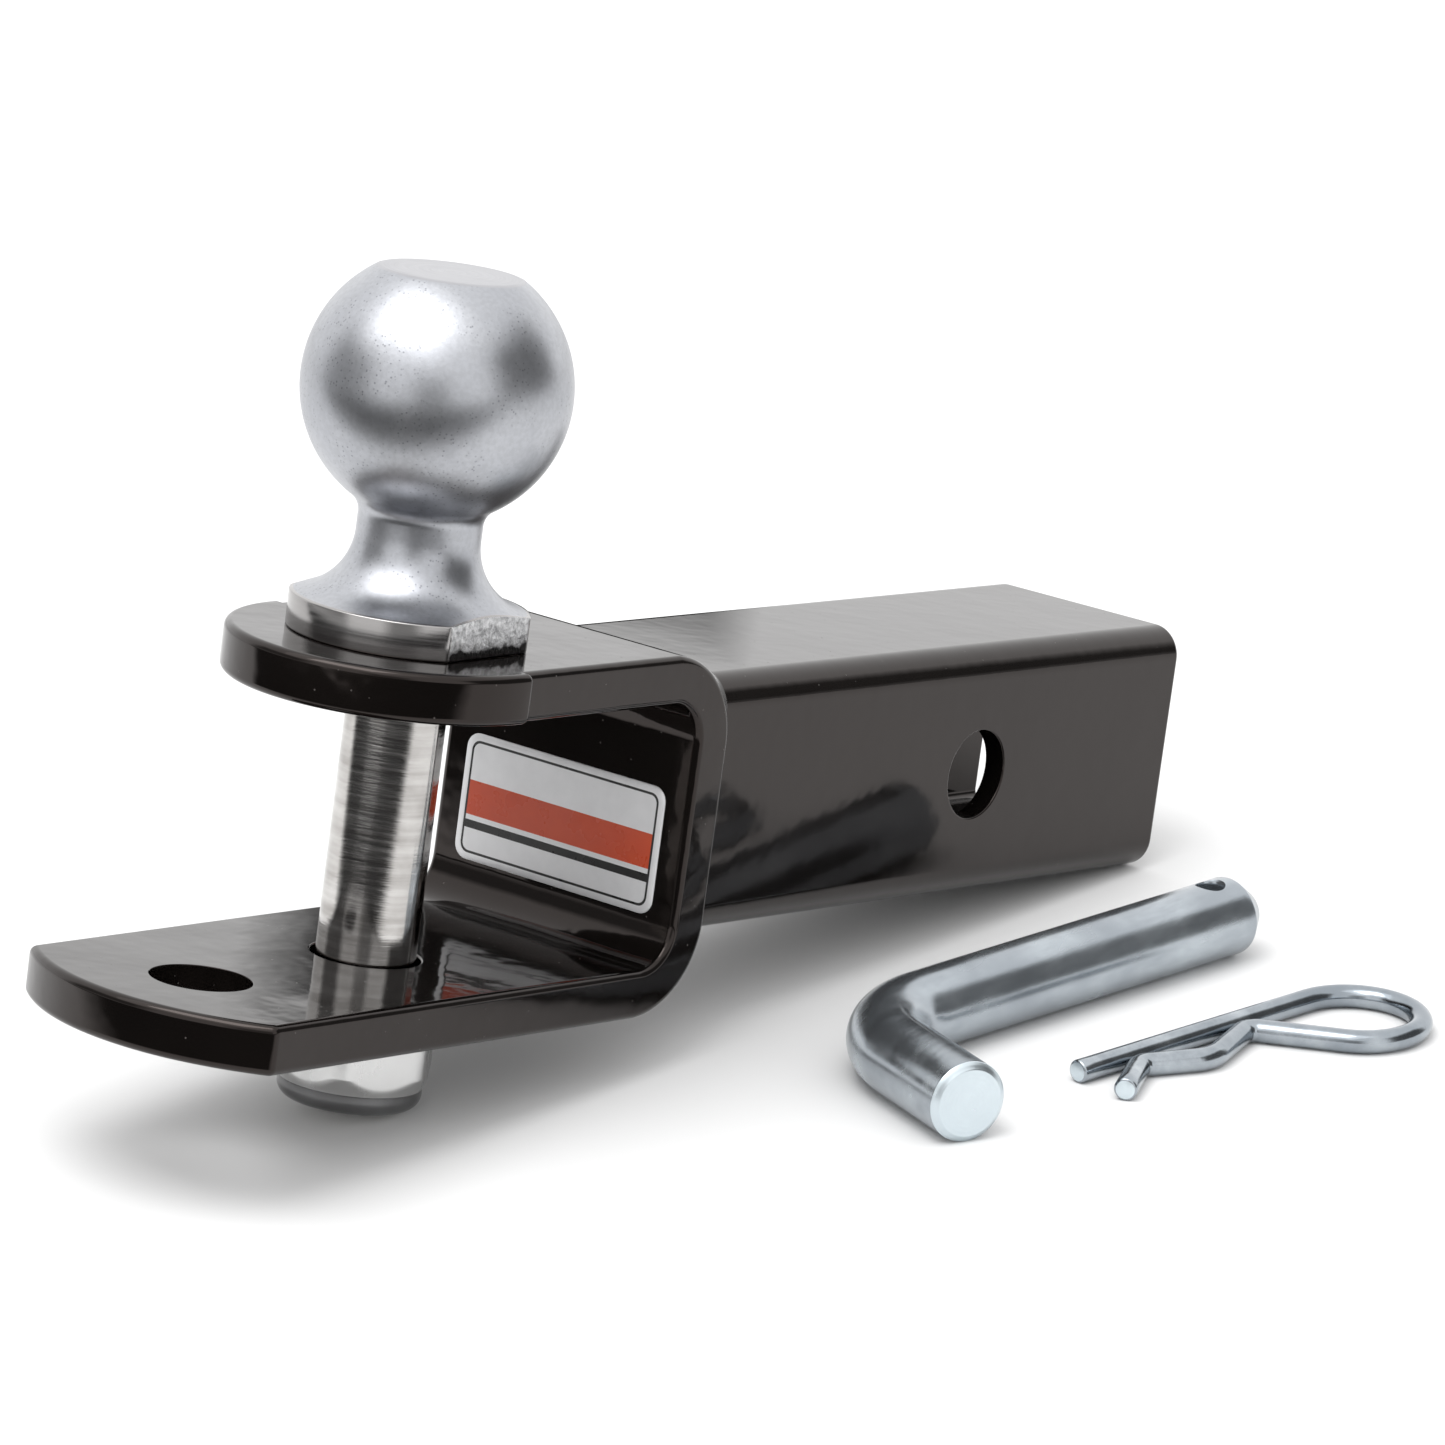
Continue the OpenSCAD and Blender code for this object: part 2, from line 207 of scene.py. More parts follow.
def fill(bm, *loops, material=0):
    """Fills a flat area bounded by closed loops of vertices, holes included."""
    edges = []
    for loop in loops:
        for a, b in zip(loop, loop[1:] + loop[:1]):
            edges.append(bm.edges.get((a, b)) or bm.edges.new((a, b)))
    made = bmesh.ops.triangle_fill(bm, use_beauty=True, edges=edges)
    for g in made["geom"]:
        if isinstance(g, bmesh.types.BMFace):
            g.material_index = material


def circle(n):
    return [(math.cos(2 * math.pi * i / n), math.sin(2 * math.pi * i / n)) for i in range(n)]


def lathe(bm, profile, n=144):
    """Turns (radius, height) points about Z. Returns the rings."""
    rings = [ring(bm, [(r * c, r * s, z) for c, s in circle(n)]) for r, z in profile]
    skin(bm, rings)
    return rings


def arc(x, z, r, angles):
    return [Vector((x + r * math.cos(a), z + r * math.sin(a))) for a in angles]


def rounded_loop(half_x, half_z, r, y, steps):
    """One loop round a rounded rectangle at depth y, as points (x, y, z)."""
    points = []
    for quarter, (sx, sz) in enumerate(((1, 1), (-1, 1), (-1, -1), (1, -1))):
        for k in range(steps + 1):
            a = math.pi / 2 * (quarter + k / steps)
            points.append((sx * (half_x - r) + r * math.cos(a), y, sz * (half_z - r) + r * math.sin(a)))
    return points


def round_off(r, end, way=1):
    """Rounds a wall off where it ends: (distance back from the wall, place along it)."""
    quarter = [math.pi / 2 * k / EASE_STEPS for k in range(EASE_STEPS + 1)]
    return [(r * (1 - math.cos(a)), end - way * r * (1 - math.sin(a))) for a in quarter]


def eased_wall(r, start, end):
    """A wall from start to end, rounded off at both."""
    way = math.copysign(1, end - start)
    return round_off(r, start, -way)[::-1] + round_off(r, end, way)


def soft_min(a, b, soft):
    """The smaller of two lengths, blended where they are within soft of each other."""
    blend = max(soft - abs(a - b), 0) / soft
    return min(a, b) - blend * blend * soft / 4


def cut(bm, point, normal):
    """Adds an edge wherever a plane crosses the mesh."""
    bmesh.ops.bisect_plane(bm, geom=bm.verts[:] + bm.edges[:] + bm.faces[:], dist=1e-5, plane_co=point,
                           plane_no=normal)


# ---------------------------------------------------------------- material helpers

class Nodes:
    """A short way to write a node material."""

    def __init__(self, name):
        self.material = bpy.data.materials.new(name)
        self.material.use_nodes = True
        self.tree = self.material.node_tree
        self.tree.nodes.clear()
        self.out = self.tree.nodes.new("ShaderNodeOutputMaterial")
        self.shader = self.node("ShaderNodeBsdfPrincipled")
        self.link(self.shader.outputs[0], self.out.inputs["Surface"])
        self.place = self.node("ShaderNodeTexCoord").outputs["Object"]

    def node(self, kind, **values):
        n = self.tree.nodes.new(kind)
        for key, value in values.items():
            if key in n.inputs:
                n.inputs[key].default_value = value
            else:
                setattr(n, key, value)
        return n

    def link(self, a, b):
        self.tree.links.new(a, b)

    def set(self, **values):
        for key, value in values.items():
            self.shader.inputs[key.replace("_", " ")].default_value = value

    def noise(self, scale, detail=3.0, stretch=(1, 1, 1), rough=0.55):
        mapping = self.node("ShaderNodeMapping")
        mapping.inputs["Scale"].default_value = stretch
        self.link(self.place, mapping.inputs["Vector"])
        n = self.node("ShaderNodeTexNoise", Scale=scale, Detail=detail, Roughness=rough)
        self.link(mapping.outputs[0], n.inputs["Vector"])
        return n.outputs["Fac"]

    def specks(self, scale, radius, share):
        """Small round spots: scale cells a metre, a spot's radius in cells, in this share of the cells."""
        n = self.node("ShaderNodeTexVoronoi", Scale=scale)
        self.link(self.place, n.inputs["Vector"])
        pick = self.node("ShaderNodeSeparateColor")
        self.link(n.outputs["Color"], pick.inputs[0])
        spot = self.span(n.outputs["Distance"], radius * 0.6, radius, 1.0, 0.0)
        return self.math("MULTIPLY", spot, self.math("LESS_THAN", pick.outputs[0], share))

    def span(self, value, lo, hi, to_lo=0.0, to_hi=1.0):
        n = self.node("ShaderNodeMapRange")
        n.clamp = True
        for i, v in enumerate((lo, hi, to_lo, to_hi)):
            n.inputs[i + 1].default_value = v
        self.link(value, n.inputs[0])
        return n.outputs[0]

    def math(self, kind, a, b):
        n = self.node("ShaderNodeMath", operation=kind)
        for i, v in enumerate((a, b)):
            if isinstance(v, (int, float)):
                n.inputs[i].default_value = v
            else:
                self.link(v, n.inputs[i])
        return n.outputs[0]

    def mix(self, fac, a, b):
        n = self.node("ShaderNodeMix", data_type="RGBA")
        self.link(fac, n.inputs[0])
        for i, v in ((6, a), (7, b)):
            if isinstance(v, tuple):
                n.inputs[i].default_value = (*v, 1)
            else:
                self.link(v, n.inputs[i])
        return n.outputs[2]

    def bump(self, height, strength, distance, under=None):
        n = self.node("ShaderNodeBump", Strength=strength, Distance=distance)
        self.link(height, n.inputs["Height"])
        if under is not None:
            self.link(under, n.inputs["Normal"])
        return n.outputs[0]

    def color(self, value):
        self.link(value, self.shader.inputs["Base Color"])

    def roughness(self, value):
        self.link(value, self.shader.inputs["Roughness"])

    def normal(self, value):
        self.link(value, self.shader.inputs["Normal"])


def powder_coat(name, peel_depth, sag_depth):
    """Gloss black powder coat: dust specks, fine orange peel and a slow sag in the surface."""
    m = Nodes(name)
    dust = m.specks(420, 0.085, 0.45)
    patches = m.span(m.noise(28, 2), 0.35, 0.75)
    ground = m.mix(patches, (0.0026, 0.0021, 0.0019), (0.0042, 0.0034, 0.003))
    m.color(m.mix(dust, ground, (0.05, 0.047, 0.044)))
    smear = m.span(m.noise(45, 4), 0.3, 0.8, 0.05, 0.11)
    m.roughness(m.math("ADD", smear, m.math("MULTIPLY", dust, 0.3)))
    m.set(IOR=1.43, Specular_Tint=(1.0, 0.86, 0.81, 1))
    peel = m.bump(m.noise(190, 1), peel_depth, 0.0004)
    sag = m.bump(m.noise(42, 1, (1, 1, 0.6)), sag_depth, 0.0012, peel)
    m.normal(m.bump(dust, 0.2, 0.0001, sag))
    return m.material


def satin_steel():
    """Forged steel, blasted to a satin: clouded, with fine grain and small dark pits."""
    m = Nodes("ball_satin")
    cloud = m.noise(60, 4)
    fine = m.span(m.noise(1000, 3), 0.38, 0.62)
    pits = m.math("MULTIPLY", m.specks(1400, 0.34, 0.5), m.span(m.noise(90, 2), 0.42, 0.6))
    base = m.mix(m.span(cloud, 0.3, 0.7), (0.41, 0.42, 0.45), (0.48, 0.49, 0.515))
    base = m.mix(m.math("MULTIPLY", fine, 0.4), base, (0.35, 0.355, 0.375))
    m.color(m.mix(m.math("MULTIPLY", pits, 0.55), base, (0.15, 0.155, 0.17)))
    m.set(Metallic=1.0)
    m.roughness(m.span(m.noise(90, 3), 0.3, 0.7, 0.30, 0.36))
    grain = m.bump(m.noise(1400, 2), 0.12, 0.0001)
    m.normal(m.bump(pits, 0.12, 0.0001, grain))
    return m.material


def around_shank(m):
    """Coordinates (distance from the shank's axis, a little of the angle, height) for turning marks."""
    lean = math.atan2(shank_up.y, shank_up.z)
    mapping = m.node("ShaderNodeMapping")
    mapping.inputs["Rotation"].default_value = (lean, 0, 0)
    mapping.inputs["Location"].default_value = (0, -SHANK_Y * MM, 0)
    m.link(m.place, mapping.inputs["Vector"])
    split = m.node("ShaderNodeSeparateXYZ")
    m.link(mapping.outputs[0], split.inputs[0])
    x, y, z = split.outputs
    radius = m.math("SQRT", m.math("ADD", m.math("MULTIPLY", x, x), m.math("MULTIPLY", y, y)), 0.0)
    angle = m.math("MULTIPLY", m.math("ABSOLUTE", m.math("ARCTAN2", y, x), 0.0), 0.0004)
    join = m.node("ShaderNodeCombineXYZ")
    for i, part in enumerate((radius, angle, z)):
        m.link(part, join.inputs[i])
    m.place = join.outputs[0]
    return z


def turned_steel(name, low, high, rough, line_scale, strength):
    """Machined metal with fine lines running round the shank's axis."""
    m = Nodes(name)
    cloud = m.noise(160, 3)
    around_shank(m)
    lines = m.noise(line_scale, 3, rough=0.7)
    broad = m.noise(line_scale * 0.3, 3)
    tone = m.math("ADD", m.math("MULTIPLY", broad, 0.6), m.math("MULTIPLY", cloud, 0.4))
    m.color(m.mix(m.span(tone, 0.35, 0.65), low, high))
    m.set(Metallic=1.0)
    m.roughness(m.span(lines, 0.3, 0.7, *rough))
    m.normal(m.bump(lines, strength, 0.00008))
    return m.material


def flange_steel():
    """Turned rim; on the wrench flats the raw forging shows, bright and speckled above a set height and near
    black below it.
    """
    m = Nodes("flange_turned")
    flat = m.node("ShaderNodeAttribute", attribute_name="wrench_flat").outputs["Fac"]
    rough_spots, coarse = m.noise(900, 4, rough=0.7), m.noise(260, 3)
    height = around_shank(m)
    lines = m.noise(1200, 3, rough=0.7)
    turned_tone = m.mix(m.span(lines, 0.3, 0.7), (0.33, 0.32, 0.315), (0.37, 0.36, 0.355))
    edge = m.math("ADD", height, m.math("MULTIPLY", coarse, 0.006))
    bright = m.span(edge, TOP_Z * MM + 0.0046, TOP_Z * MM + 0.0056)
    speckled = m.mix(m.span(rough_spots, 0.35, 0.65), (0.38, 0.38, 0.39), (0.9, 0.9, 0.91))
    forged = m.mix(bright, (0.02, 0.018, 0.018), speckled)
    m.color(m.mix(flat, turned_tone, forged))
    m.set(Metallic=1.0)
    m.roughness(m.math("ADD", m.span(lines, 0.3, 0.7, 0.12, 0.22), m.math("MULTIPLY", flat, 0.22)))
    dents = m.math("MULTIPLY", m.math("ADD", rough_spots, coarse), flat)
    m.normal(m.bump(lines, 0.1, 0.00008, m.bump(dents, 0.7, 0.0004)))
    return m.material


def zinc(name, low, high, stretch, rough, scale=120, dents=0.22, haze=0.0, rings_at=None):
    """Mottled, slightly dented zinc plate. haze dulls it; rings_at is the middle of a faced end's rings."""
    m = Nodes(name)
    mottle = m.noise(scale, 4, stretch, 0.6)
    stain = m.span(m.noise(scale * 0.4, 3), 0.35, 0.7)
    m.color(m.mix(m.span(mottle, 0.3, 0.7), low, m.mix(stain, low, high)))
    m.set(Metallic=1.0 - haze)
    m.roughness(m.span(mottle, 0.3, 0.7, *rough))
    fine = m.bump(m.noise(1500, 2, stretch), 0.10, 0.00006)
    shape = m.bump(mottle, dents, 0.0003, fine)
    if rings_at is not None:
        gap = m.node("ShaderNodeVectorMath", operation="DISTANCE")
        m.link(m.place, gap.inputs[0])
        gap.inputs[1].default_value = rings_at
        wave = m.math("SINE", m.math("MULTIPLY", gap.outputs["Value"], RING_RATE), 0.0)
        shape = m.bump(wave, 0.12, 0.00008, shape)
    m.normal(shape)
    return m.material


plate_coat = powder_coat("plate_powder_coat", 0.14, 0.22)
tube_coat = powder_coat("tube_powder_coat", 0.08, 0.08)
weld_coat = powder_coat("weld_powder_coat", 0.14, 0.28)
ball_satin = satin_steel()

# ---------------------------------------------------------------- bent plate

S_BEND = WALL_Y - BEND_IN_R - SHANK_Y          # along the plate, from the shank to the first bend
NEUTRAL = 12.0                                 # radius that the bends' length is counted on
ARC = NEUTRAL * math.pi / 2
RISE = CLEVIS_GAP - 2 * BEND_IN_R
S_WALL, S_BEND_2 = S_BEND + ARC, S_BEND + ARC + RISE
S_UPPER = S_BEND_2 + ARC
S_HEAD_HOLE = S_UPPER + S_BEND


def bend_radius(phi, h):
    """Radius inside a bend at angle phi and depth h: the outside is rounder than the inside, so it thins."""
    reach = math.sin(phi) + math.cos(phi)
    thin = BEND_OUT_R - BEND_IN_R - PLATE_T
    outer = math.sqrt(reach * reach * thin * thin - 2 * thin * thin + BEND_OUT_R ** 2) - thin * reach
    return BEND_IN_R + h / PLATE_T * (outer - BEND_IN_R)


def on_plate(x, s, h):
    """From the flat plate (across, along, depth from the inner face) to the bent plate in the hitch frame."""
    if s <= S_BEND:
        return x, SHANK_Y + s, TONGUE_Z - h
    if s <= S_WALL:
        phi = (s - S_BEND) / NEUTRAL
        r = bend_radius(phi, h)
        return x, SHANK_Y + S_BEND + r * math.sin(phi), TONGUE_Z + BEND_IN_R - r * math.cos(phi)
    if s <= S_BEND_2:
        return x, WALL_Y + h, TONGUE_Z + BEND_IN_R + s - S_WALL
    if s <= S_UPPER:
        phi = (s - S_BEND_2) / NEUTRAL
        r = bend_radius(phi, h)
        return x, SHANK_Y + S_BEND + r * math.cos(phi), HEAD_Z - BEND_IN_R + r * math.sin(phi)
    return x, SHANK_Y + S_BEND - (s - S_UPPER), HEAD_Z + h


def plate_outline():
    """The flat plate's edge as (point, inward step for one millimetre), going round once."""
    points = []

    def sweep(x, s, r, start, end, steps, ends=True):
        for k in range(steps + 1) if ends else range(1, steps):
            a = start + (end - start) * k / steps
            points.append(((x + r * math.cos(a), s + r * math.sin(a)), (-math.cos(a), -math.sin(a))))

    # the nose, from its left corner to its right one
    side = PLATE_HALF_W - NOSE_CORNER_R
    ease = math.asin(side / (NOSE_R - NOSE_CORNER_R))
    ease_s = -NOSE_FWD - (NOSE_R - NOSE_CORNER_R) * math.cos(ease)
    down = -math.pi / 2
    sweep(-side, ease_s, NOSE_CORNER_R, -math.pi, down - ease, EASE_STEPS)
    sweep(0, -NOSE_FWD, NOSE_R, down - ease, down + ease, NOSE_STEPS, ends=False)
    sweep(side, ease_s, NOSE_CORNER_R, down + ease, 0, EASE_STEPS)
    # the right side, the small step out to the head, the head, the step back and the left side
    head_s, step_s = S_HEAD_HOLE + HEAD_FWD, S_HEAD_HOLE + HEAD_END
    start = math.asin((step_s + STEP_R - head_s) / (HEAD_R - STEP_R))
    step_x = (HEAD_R - STEP_R) * math.cos(start)
    points.append(((PLATE_HALF_W, step_s), (-1, 1)))
    sweep(step_x, step_s + STEP_R, STEP_R, down, start, EASE_STEPS)
    sweep(0, head_s, HEAD_R, start, math.pi - start, HEAD_STEPS, ends=False)
    sweep(-step_x, step_s + STEP_R, STEP_R, math.pi - start, math.pi - down, EASE_STEPS)
    points.append(((-PLATE_HALF_W, step_s), (1, 1)))
    return points


def bracket():
    bm = bmesh.new()
    outline = plate_outline()
    edge = [ring(bm, [(p[0] + i[0] * back, p[1] + i[1] * back, h) for p, i in outline])
            for back, h in eased_wall(PLATE_EDGE_R, 0, PLATE_T)]
    skin(bm, edge)
    near, far = [edge[0]], [edge[-1]]
    holes = ((-FRONT_HOLE_FWD, FRONT_HOLE_R, FRONT_HOLE_EASE), (0, SHANK_HOLE_R, HOLE_EASE),
             (S_HEAD_HOLE, SHANK_HOLE_R, HOLE_EASE))
    for s, r, ease in holes:
        wall = [ring(bm, [((r + back) * c, s + (r + back) * q, h) for c, q in circle(HOLE_POINTS)])
                for back, h in eased_wall(ease, 0, PLATE_T)]
        skin(bm, wall)
        near.append(wall[0])
        far.append(wall[-1])
    fill(bm, *near)
    fill(bm, *far)
    for start in (S_BEND, S_BEND_2):
        for k in range(BEND_CUTS + 1):
            cut(bm, (0, start + ARC * k / BEND_CUTS, 0), (0, 1, 0))
    for v in bm.verts:
        v.co = on_plate(*v.co)
    return build("bracket_plate", finished(bm, "bracket_plate"), "hitch", ["clevis_bracket"],
                 [plate_coat], HITCH, weighted=True)


bracket()

# ---------------------------------------------------------------- square tube

def tube():
    bm = bmesh.new()
    half, inner = TUBE_W / 2, TUBE_W / 2 - TUBE_WALL

    def loop(reach, r, y):
        return ring(bm, rounded_loop(reach, reach, r, y, TUBE_CORNER_STEPS))

    loops = [loop(half, TUBE_R, TUBE_FRONT)]
    loops += [loop(half - back, TUBE_R - back, y) for back, y in round_off(TUBE_RIM_R, TUBE_BACK)]
    rim_inside = round_off(TUBE_RIM_IN_R, TUBE_BACK)[::-1]
    loops += [loop(inner + back, TUBE_IN_R + back, y) for back, y in rim_inside]
    loops.append(loop(inner, TUBE_IN_R, TUBE_FRONT))
    n, corner = len(loops[0]), TUBE_CORNER_STEPS + 1
    sides = {4 * corner - 1: 1, 2 * corner - 1: -1}       # where a flat +X or -X face starts in a loop
    bands = list(zip(loops, loops[1:]))
    for k, (a, b) in enumerate(bands):
        for i in range(n):
            if k in (0, len(bands) - 1) and i in sides:
                continue
            j = (i + 1) % n
            bm.faces.new((a[i], a[j], b[j], b[i]))
    for i, side in sides.items():
        j = (i + 1) % n
        wall = [ring(bm, [(side * x, (PIN_HOLE_R + back) * c, (PIN_HOLE_R + back) * s)
                          for c, s in circle(HOLE_POINTS)])
                for back, x in eased_wall(HOLE_EASE, half, inner)]
        skin(bm, wall)
        for (a, b), rim in ((bands[0], wall[0]), (bands[-1], wall[-1])):
            fill(bm, [a[i], a[j], b[j], b[i]], rim)
    return build("tube_body", finished(bm, "tube_body"), "hitch", ["receiver_tube"],
                 [tube_coat], HITCH, weighted=True)


tube()

# ---------------------------------------------------------------- weld bead

def weld():
    """A fillet swept round the tube, with ripples along it."""
    bm = bmesh.new()
    loop, length = rounded_loop(TUBE_W / 2, TUBE_W / 2, TUBE_R, 0, WELD_CORNER_STEPS), [0.0]
    for a, b in zip(loop, loop[1:] + loop[:1]):
        length.append(length[-1] + math.dist(a, b))
    path = []
    for k in range(WELD_STEPS):
        d = length[-1] * k / WELD_STEPS
        i = max(j for j in range(len(loop)) if length[j] <= d)
        share = (d - length[i]) / max(length[i + 1] - length[i], 1e-9)
        path.append(Vector(loop[i]).lerp(Vector(loop[(i + 1) % len(loop)]), share))
    section = rounded([(TUBE_FRONT + WELD_LEG - 0.1, -0.4, 0), (TUBE_FRONT + WELD_LEG * 0.82, 0.8, 1.2),
                       (TUBE_FRONT + WELD_LEG * 0.35, 1.9, 2.2), (TUBE_FRONT - 0.8, WELD_RISE * 0.95, 1.6),
                       (TUBE_FRONT - BEND_IN_R, WELD_RISE, 0)], 4)
    rings = []
    for k, p in enumerate(path):
        out = (path[(k + 1) % WELD_STEPS] - path[k - 1]).cross(Vector((0, 1, 0))).normalized()
        if out.dot(p) < 0:
            out = -out
        drift = RIPPLE_DRIFT * math.sin(k * DRIFT_RATE)
        wave = 1 - math.sin(2 * math.pi * k * WELD_RIPPLES / WELD_STEPS + drift)
        points = []
        for q in section:
            rise = q.y - RIPPLE_DEPTH * wave * min(1, q.y / 2)
            points.append((p.x + out.x * rise, q.x - RIPPLE_LEAN * wave, p.z + out.z * rise))
        rings.append(ring(bm, points))
    skin(bm, rings + rings[:1], closed=False)
    return build("weld_bead", finished(bm, "weld_bead"), "hitch", ["tube_weld"],
                 [weld_coat], HITCH)


weld()

# ---------------------------------------------------------------- tow ball with its shank

SATIN, TURNED_RIM, FACED_TOP, TURNED_SHANK = range(4)
RIM_CORNER_STEPS = 4
RIM_ROWS = 1 + 2 * (RIM_CORNER_STEPS + 1)         # points of a section up to the flange's upper edge
FLAT_ROWS = RIM_ROWS + 3                          # points up to where the wrench flats end in the flare
TOP_ROWS = 2                                      # points of the bevel at the machined top


def ball_section(angle):
    """The ball's outline at an angle round it, from the flange up. The wrench flats cut the rim back."""
    collar_z = BALL_RISE - math.sqrt((BALL_R + COLLAR_R) ** 2 - (NECK_R + COLLAR_R) ** 2)
    meet = math.atan2(BALL_RISE - collar_z, NECK_R + COLLAR_R)
    flat = FLAT_HALF / max(abs(math.cos(angle - FLAT_TURN)), 0.1)
    rim = soft_min(FLANGE_R, flat, 0.35)
    edge_z = FLARE_H - math.sqrt(FLARE_R ** 2 - (NECK_R + FLARE_R - rim) ** 2)
    first = math.atan2(edge_z - FLARE_H, rim - NECK_R - FLARE_R)
    flare = arc(NECK_R + FLARE_R, FLARE_H, FLARE_R, np.linspace(first - 0.06, -math.pi, 24))
    line = rounded([(SHANK_R, -FLANGE_T, 0), (rim, -FLANGE_T, RIM_LOW_R), (rim, edge_z, RIM_TOP_R),
                    *[(p.x, p.y, 0) for p in flare], (NECK_R, collar_z, 0)], RIM_CORNER_STEPS)
    line += arc(NECK_R + COLLAR_R, collar_z, COLLAR_R, np.linspace(math.pi, math.pi - meet, 10)[1:])
    top = math.asin(BALL_FLAT / BALL_R)
    line += arc(0, BALL_RISE, BALL_R, np.linspace(-meet, top - 0.02, 64)[1:])
    top_r, top_z = BALL_R * math.cos(top), BALL_RISE + BALL_FLAT
    return line + [Vector((top_r - 0.25, top_z - 0.04)), Vector((top_r - 0.7, top_z))]


def mark_wrench_flats(rows, layer):
    """Gives 1 to the points on the two flats, where the raw forging shows, and 0 to the rest of the rim."""
    across, along = math.cos(FLAT_TURN), math.sin(FLAT_TURN)
    for v in [v for row in rows for v in row]:
        reach = abs(v.co.x * across + v.co.y * along)
        facing = abs(math.cos(math.atan2(v.co.y, v.co.x) - FLAT_TURN)) > 0.8
        v[layer] = 1.0 if reach > FLAT_HALF - 0.12 and v.co.z < 3 and facing else 0.0


def shank(bm):
    """Plain below the flange, then a rolled thread, to the bevelled end."""
    base = -FLANGE_T
    end = base - SHANK_L
    thread_top = THREAD_TOP_Z - TOP_Z - FLANGE_T
    count = int((thread_top - end) / THREAD_PITCH * THREAD_RINGS)
    heights = [base, base - 1, thread_top + 1.2, thread_top]
    heights += [thread_top - (thread_top - end) * k / count for k in range(1, count + 1)]
    rings = []
    for z in heights:
        points = []
        for i, (c, s) in enumerate(circle(SHANK_POINTS)):
            r = SHANK_R
            if z < thread_top:
                turn = (z / THREAD_PITCH - i / SHANK_POINTS) % 1.0
                run_in = min(1.0, (thread_top - z) / THREAD_PITCH)
                # a triangle wave, flattened a little at the crest and the root
                groove = min(1.0, max(0.0, 1.12 * (1 - abs(2 * turn - 1)) - 0.06))
                r -= THREAD_DEPTH * groove * run_in
            r = min(r, SHANK_R - SHANK_BEVEL + (z - end))
            points.append((r * c, r * s, z))
        rings.append(ring(bm, points))
    skin(bm, rings, material=TURNED_SHANK)
    fill(bm, rings[-1], material=TURNED_SHANK)


def tow_ball():
    bm = bmesh.new()
    wrench_flat = bm.verts.layers.float.new("wrench_flat")
    columns = [ring(bm, [(p.x * c, p.x * s, p.y) for p in ball_section(math.atan2(s, c))])
               for c, s in circle(ROUND_POINTS)]
    rows = [list(row) for row in zip(*columns)]
    for k, (a, b) in enumerate(zip(rows, rows[1:])):
        upper = FACED_TOP if k >= len(rows) - 1 - TOP_ROWS else SATIN
        bridge(bm, a, b, material=TURNED_RIM if k < RIM_ROWS else upper)
    fill(bm, rows[-1], material=FACED_TOP)
    mark_wrench_flats(rows[:FLAT_ROWS], wrench_flat)
    shank(bm)
    place = HITCH @ moved(0, SHANK_Y, TOP_Z + FLANGE_T)
    return build("tow_ball_forging", finished(bm, "tow_ball_forging"), "ball", ["tow_ball"],
                 [ball_satin, rim_steel, top_steel, shank_steel], place)


rim_steel = flange_steel()
top_steel = turned_steel("top_machined", (0.40, 0.40, 0.42), (0.46, 0.46, 0.48), (0.28, 0.36), 1500, 0.12)
shank_steel = turned_steel("shank_turned", (0.36, 0.345, 0.33), (0.60, 0.585, 0.57), (0.07, 0.18), 1800, 0.14)
tow_ball()

# ---------------------------------------------------------------- lock nut and its nylon ring

def lock_nut():
    bm = bmesh.new()
    hex_low, corner = NUT_H - NUT_HEX_H, NUT_CORNER_R - 0.01
    hexagon = [(BORE_R, NUT_H - NUT_BORE_BEVEL), (BORE_R + 1.1, NUT_H), (NUT_FACE_R, NUT_H),
               (NUT_CROWN_R, NUT_H - 0.05)]
    hexagon += [(NUT_CROWN_R + (corner - NUT_CROWN_R) * t, NUT_H - NUT_CROWN_H * t ** 1.15)
                for t in np.linspace(0.08, 1, 12)]
    hexagon += [(corner, z) for z in np.linspace(NUT_H - NUT_CROWN_H - 0.4, hex_low + NUT_FOOT_H + 0.3, 14)]
    hexagon += [(corner - (corner - NUT_FOOT_R) * t, hex_low + NUT_FOOT_H * (1 - t) ** 0.9)
                for t in np.linspace(0, 1, 14)]
    roll_x = COLLAR_OUT_R - ROLL_R
    collar = [(COLLAR_OUT_R, hex_low - 0.35)]
    collar += [(roll_x + ROLL_R * math.cos(a), ROLL_R - ROLL_R * math.sin(a))
               for a in np.linspace(0, 1.38, 10)]
    inside = [(INSERT_R + 0.05, 0.25), (INSERT_R + 0.05, INSERT_H), (BORE_R + 0.02, INSERT_H),
              (BORE_R + 0.02, NUT_H - NUT_BORE_BEVEL)]
    rows = []
    for k, (r, z) in enumerate(hexagon + collar + inside):
        points = []
        for c, s in circle(ROUND_POINTS):
            flat = NUT_HALF / math.cos(math.atan2(s, c) % (math.pi / 3) - math.pi / 6)
            reach = soft_min(r, flat, 0.5) if k < len(hexagon) else r
            points.append((reach * c, reach * s, z))
        rows.append(ring(bm, points))
    for k, (a, b) in enumerate(zip(rows, rows[1:])):
        # the collar takes the darker zinc, which is painted shade
        on_collar = len(hexagon) - 1 <= k < len(rows) - len(inside)
        bridge(bm, a, b, material=1 if on_collar else 0)
    place = HITCH @ moved(0, SHANK_Y, BASE_Z - NUT_H) @ turned(NUT_TURN)
    return build("lock_nut_body", finished(bm, "lock_nut_body"), "nut", ["lock_nut"],
                 [nut_zinc, collar_shade_zinc], place)


